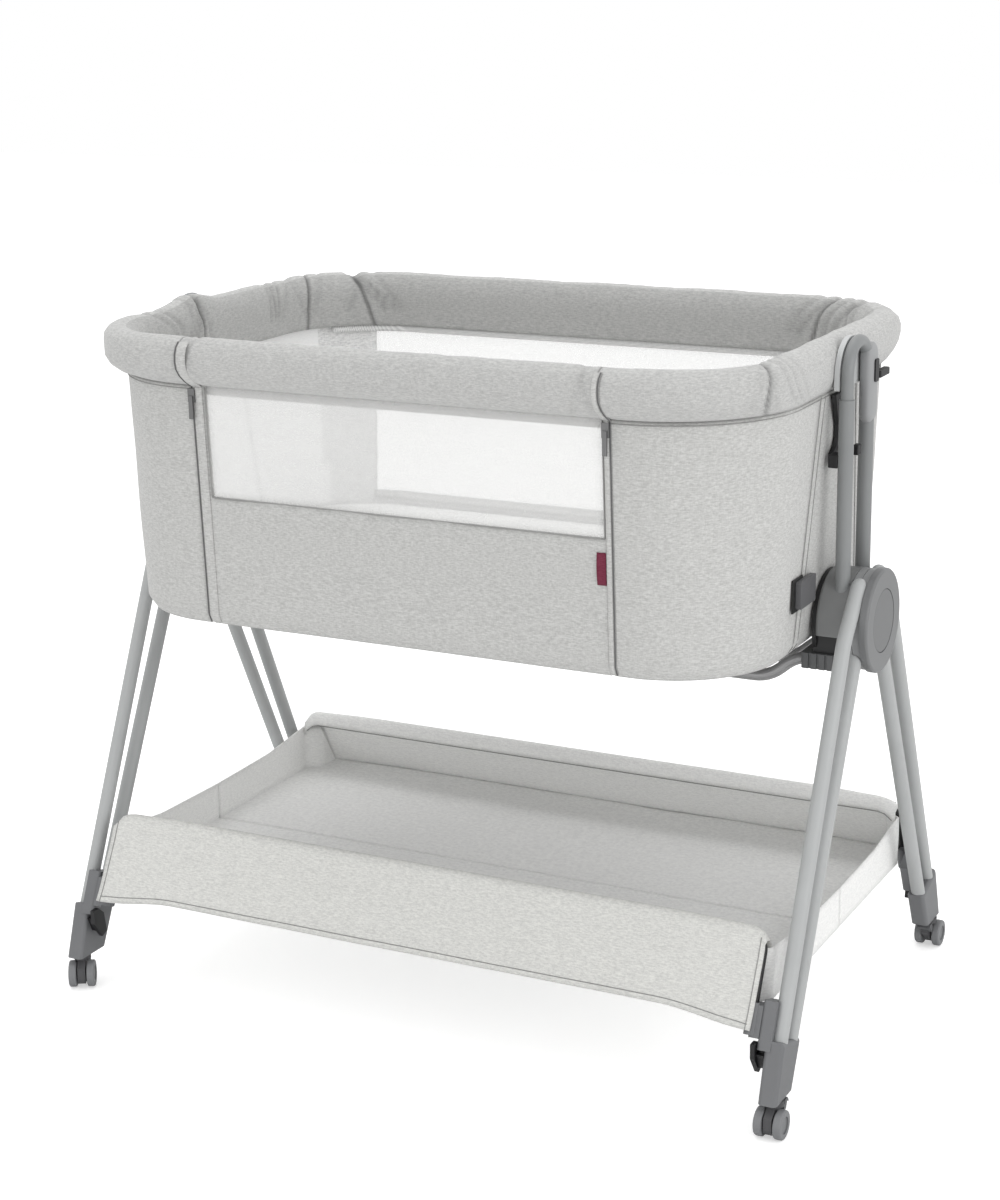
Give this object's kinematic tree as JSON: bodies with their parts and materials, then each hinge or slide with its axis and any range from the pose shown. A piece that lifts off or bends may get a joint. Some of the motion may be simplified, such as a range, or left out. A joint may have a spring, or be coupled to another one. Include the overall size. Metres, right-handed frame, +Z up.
{
  "type": "bedside sleeper crib",
  "caption": "Bedside crib of grey cloth on folding tube legs with casters: height-adjustable body, zipped drop side with mesh window, padded rim, mattress and cloth basket.",
  "frame": {"origin": "on the floor under the middle of the crib", "axes": "+X along the crib, +Y from the zipped drop side to the back, +Z up"},
  "size_m": [0.894, 0.5706, 0.7775],
  "materials": {
    "dark_plastic": "satin",
    "grey_plastic": "satin",
    "button_plastic": "satin",
    "black_plastic": "satin",
    "black_steel": "satin",
    "tube_paint": "satin",
    "post_paint": "satin",
    "cross_paint": "gloss",
    "bright_steel": "satin",
    "grey_cloth": "woven",
    "rim_cloth": "woven",
    "mesh_cloth": "open mesh",
    "white_pad": "quilted",
    "board": "plain",
    "zip_metal": "satin",
    "wheel_plastic": "satin"
  },
  "bodies": {
    "base": {"hub_housing_left": "dark_plastic", "hub_housing_right": "dark_plastic", "hub_pins": "bright_steel", "hub_covers": "grey_plastic", "hub_brackets": "black_steel", "post_tubes": "post_paint", "cross_tubes": "cross_paint", "cross_tube_clamps": "black_plastic"},
    "crib": {"sliding_arch_left": "post_paint", "sliding_arch_right": "post_paint", "arch_plates": "tube_paint", "height_locks": "grey_plastic", "rim_tube": "bright_steel", "rim_sleeve": "rim_cloth", "end_panel_left": "grey_cloth", "corner_panel_front_left": "grey_cloth", "end_panel_right": "grey_cloth", "corner_panel_front_right": "grey_cloth", "back_panel": "grey_cloth", "back_mesh": "mesh_cloth", "base_board": "board", "mattress": "white_pad", "end_buckles": "black_plastic", "drop_cloth": "grey_cloth", "drop_window": "mesh_cloth"},
    "drop_side": {"drop_rail": "bright_steel", "drop_rail_sleeve": "rim_cloth"},
    "front_legs": {"leg_rings_front": "grey_plastic", "leg_tubes_front": "tube_paint", "foot_front_left": "grey_plastic", "foot_front_right": "grey_plastic", "rod_catches_front": "black_plastic", "basket_rod_front": "black_steel", "basket_front": "grey_cloth"},
    "rear_legs": {"leg_rings_rear": "grey_plastic", "leg_tubes_rear": "tube_paint", "foot_rear_left": "grey_plastic", "foot_rear_right": "grey_plastic", "rod_catches_rear": "black_plastic", "basket_rod_rear": "black_steel", "basket_rear": "grey_cloth"},
    "fold_button_left": {"fold_button_left": "button_plastic"},
    "fold_button_right": {"fold_button_right": "button_plastic"},
    "height_button_left": {"height_button_left": "black_plastic"},
    "height_button_right": {"height_button_right": "black_plastic"},
    "zip_slider_left": {"zip_slider_left": "zip_metal"},
    "zip_slider_right": {"zip_slider_right": "zip_metal"},
    "caster_fork_front_left": {"caster_fork_front_left": "black_plastic"},
    "caster_wheels_front_left": {"caster_wheels_front_left": "wheel_plastic"},
    "brake_pedal_front_left": {"brake_pedal_front_left": "dark_plastic"},
    "caster_fork_front_right": {"caster_fork_front_right": "black_plastic"},
    "caster_wheels_front_right": {"caster_wheels_front_right": "wheel_plastic"},
    "brake_pedal_front_right": {"brake_pedal_front_right": "dark_plastic"},
    "caster_fork_rear_left": {"caster_fork_rear_left": "black_plastic"},
    "caster_wheels_rear_left": {"caster_wheels_rear_left": "wheel_plastic"},
    "brake_pedal_rear_left": {"brake_pedal_rear_left": "dark_plastic"},
    "caster_fork_rear_right": {"caster_fork_rear_right": "black_plastic"},
    "caster_wheels_rear_right": {"caster_wheels_rear_right": "wheel_plastic"},
    "brake_pedal_rear_right": {"brake_pedal_rear_right": "dark_plastic"}
  },
  "joints": [
    {"name": "crib_height", "type": "slide", "parent": "base", "child": "crib", "axis": [0, 0, 1], "range_m": [0, 0.12]},
    {"name": "side_drop", "type": "slide", "parent": "crib", "child": "drop_side", "axis": [0, 0, -1], "range_m": [0, 0.2], "deforming": ["drop_cloth", "drop_window"]},
    {"name": "front_leg_fold", "type": "hinge", "parent": "base", "child": "front_legs", "pos_m": [0, 0, 0.476], "axis": [1, 0, 0], "range_deg": [0, 22], "deforming": ["basket_front"]},
    {"name": "rear_leg_fold", "type": "hinge", "parent": "base", "child": "rear_legs", "pos_m": [0, 0, 0.476], "axis": [1, 0, 0], "range_deg": [-22, 0], "deforming": ["basket_rear"]},
    {"name": "fold_button_press_left", "type": "slide", "parent": "base", "child": "fold_button_left", "axis": [1, 0, 0], "range_m": [0, 0.0026], "stiffness_N_per_m": 800},
    {"name": "fold_button_press_right", "type": "slide", "parent": "base", "child": "fold_button_right", "axis": [-1, 0, 0], "range_m": [0, 0.0026], "stiffness_N_per_m": 800},
    {"name": "height_button_press_left", "type": "slide", "parent": "crib", "child": "height_button_left", "axis": [1, 0, 0], "range_m": [0, 0.0009], "stiffness_N_per_m": 600},
    {"name": "height_button_press_right", "type": "slide", "parent": "crib", "child": "height_button_right", "axis": [-1, 0, 0], "range_m": [0, 0.0009], "stiffness_N_per_m": 600},
    {"name": "zip_run_left", "type": "slide", "parent": "crib", "child": "zip_slider_left", "axis": [0, 0.0488, -0.9988], "range_m": [0, 0.22]},
    {"name": "zip_run_right", "type": "slide", "parent": "crib", "child": "zip_slider_right", "axis": [0, 0.0488, -0.9988], "range_m": [0, 0.22]},
    {"name": "caster_swivel_front_left", "type": "hinge", "parent": "front_legs", "child": "caster_fork_front_left", "pos_m": [-0.43, -0.26, 0.04], "axis": [0, 0, 1], "continuous": true},
    {"name": "caster_roll_front_left", "type": "hinge", "parent": "caster_fork_front_left", "child": "caster_wheels_front_left", "pos_m": [-0.426, -0.26693, 0.0155], "axis": [0.866, 0.5, 0], "continuous": true},
    {"name": "brake_press_front_left", "type": "hinge", "parent": "caster_fork_front_left", "child": "brake_pedal_front_left", "pos_m": [-0.43475, -0.25177, 0.0265], "axis": [0.866, 0.5, 0], "range_deg": [-15, 0]},
    {"name": "caster_swivel_front_right", "type": "hinge", "parent": "front_legs", "child": "caster_fork_front_right", "pos_m": [0.43, -0.26, 0.04], "axis": [0, 0, 1], "continuous": true},
    {"name": "caster_roll_front_right", "type": "hinge", "parent": "caster_fork_front_right", "child": "caster_wheels_front_right", "pos_m": [0.43, -0.268, 0.0155], "axis": [1, 0, 0], "continuous": true},
    {"name": "brake_press_front_right", "type": "hinge", "parent": "caster_fork_front_right", "child": "brake_pedal_front_right", "pos_m": [0.43, -0.2505, 0.0265], "axis": [1, 0, 0], "range_deg": [-15, 0]},
    {"name": "caster_swivel_rear_left", "type": "hinge", "parent": "rear_legs", "child": "caster_fork_rear_left", "pos_m": [-0.43, 0.26, 0.04], "axis": [0, 0, 1], "continuous": true},
    {"name": "caster_roll_rear_left", "type": "hinge", "parent": "caster_fork_rear_left", "child": "caster_wheels_rear_left", "pos_m": [-0.43, 0.268, 0.0155], "axis": [1, 0, 0], "continuous": true},
    {"name": "brake_press_rear_left", "type": "hinge", "parent": "caster_fork_rear_left", "child": "brake_pedal_rear_left", "pos_m": [-0.43, 0.2505, 0.0265], "axis": [1, 0, 0], "range_deg": [0, 15]},
    {"name": "caster_swivel_rear_right", "type": "hinge", "parent": "rear_legs", "child": "caster_fork_rear_right", "pos_m": [0.43, 0.26, 0.04], "axis": [0, 0, 1], "continuous": true},
    {"name": "caster_roll_rear_right", "type": "hinge", "parent": "caster_fork_rear_right", "child": "caster_wheels_rear_right", "pos_m": [0.43, 0.268, 0.0155], "axis": [1, 0, 0], "continuous": true},
    {"name": "brake_press_rear_right", "type": "hinge", "parent": "caster_fork_rear_right", "child": "brake_pedal_rear_right", "pos_m": [0.43, 0.2505, 0.0265], "axis": [1, 0, 0], "range_deg": [0, 15]}
  ],
  "couplings": [
    {"joint": "rear_leg_fold", "follows": "front_leg_fold", "ratio": -1},
    {"joint": "zip_run_left", "follows": "side_drop", "ratio": 1.1},
    {"joint": "zip_run_right", "follows": "side_drop", "ratio": 1.1}
  ]
}
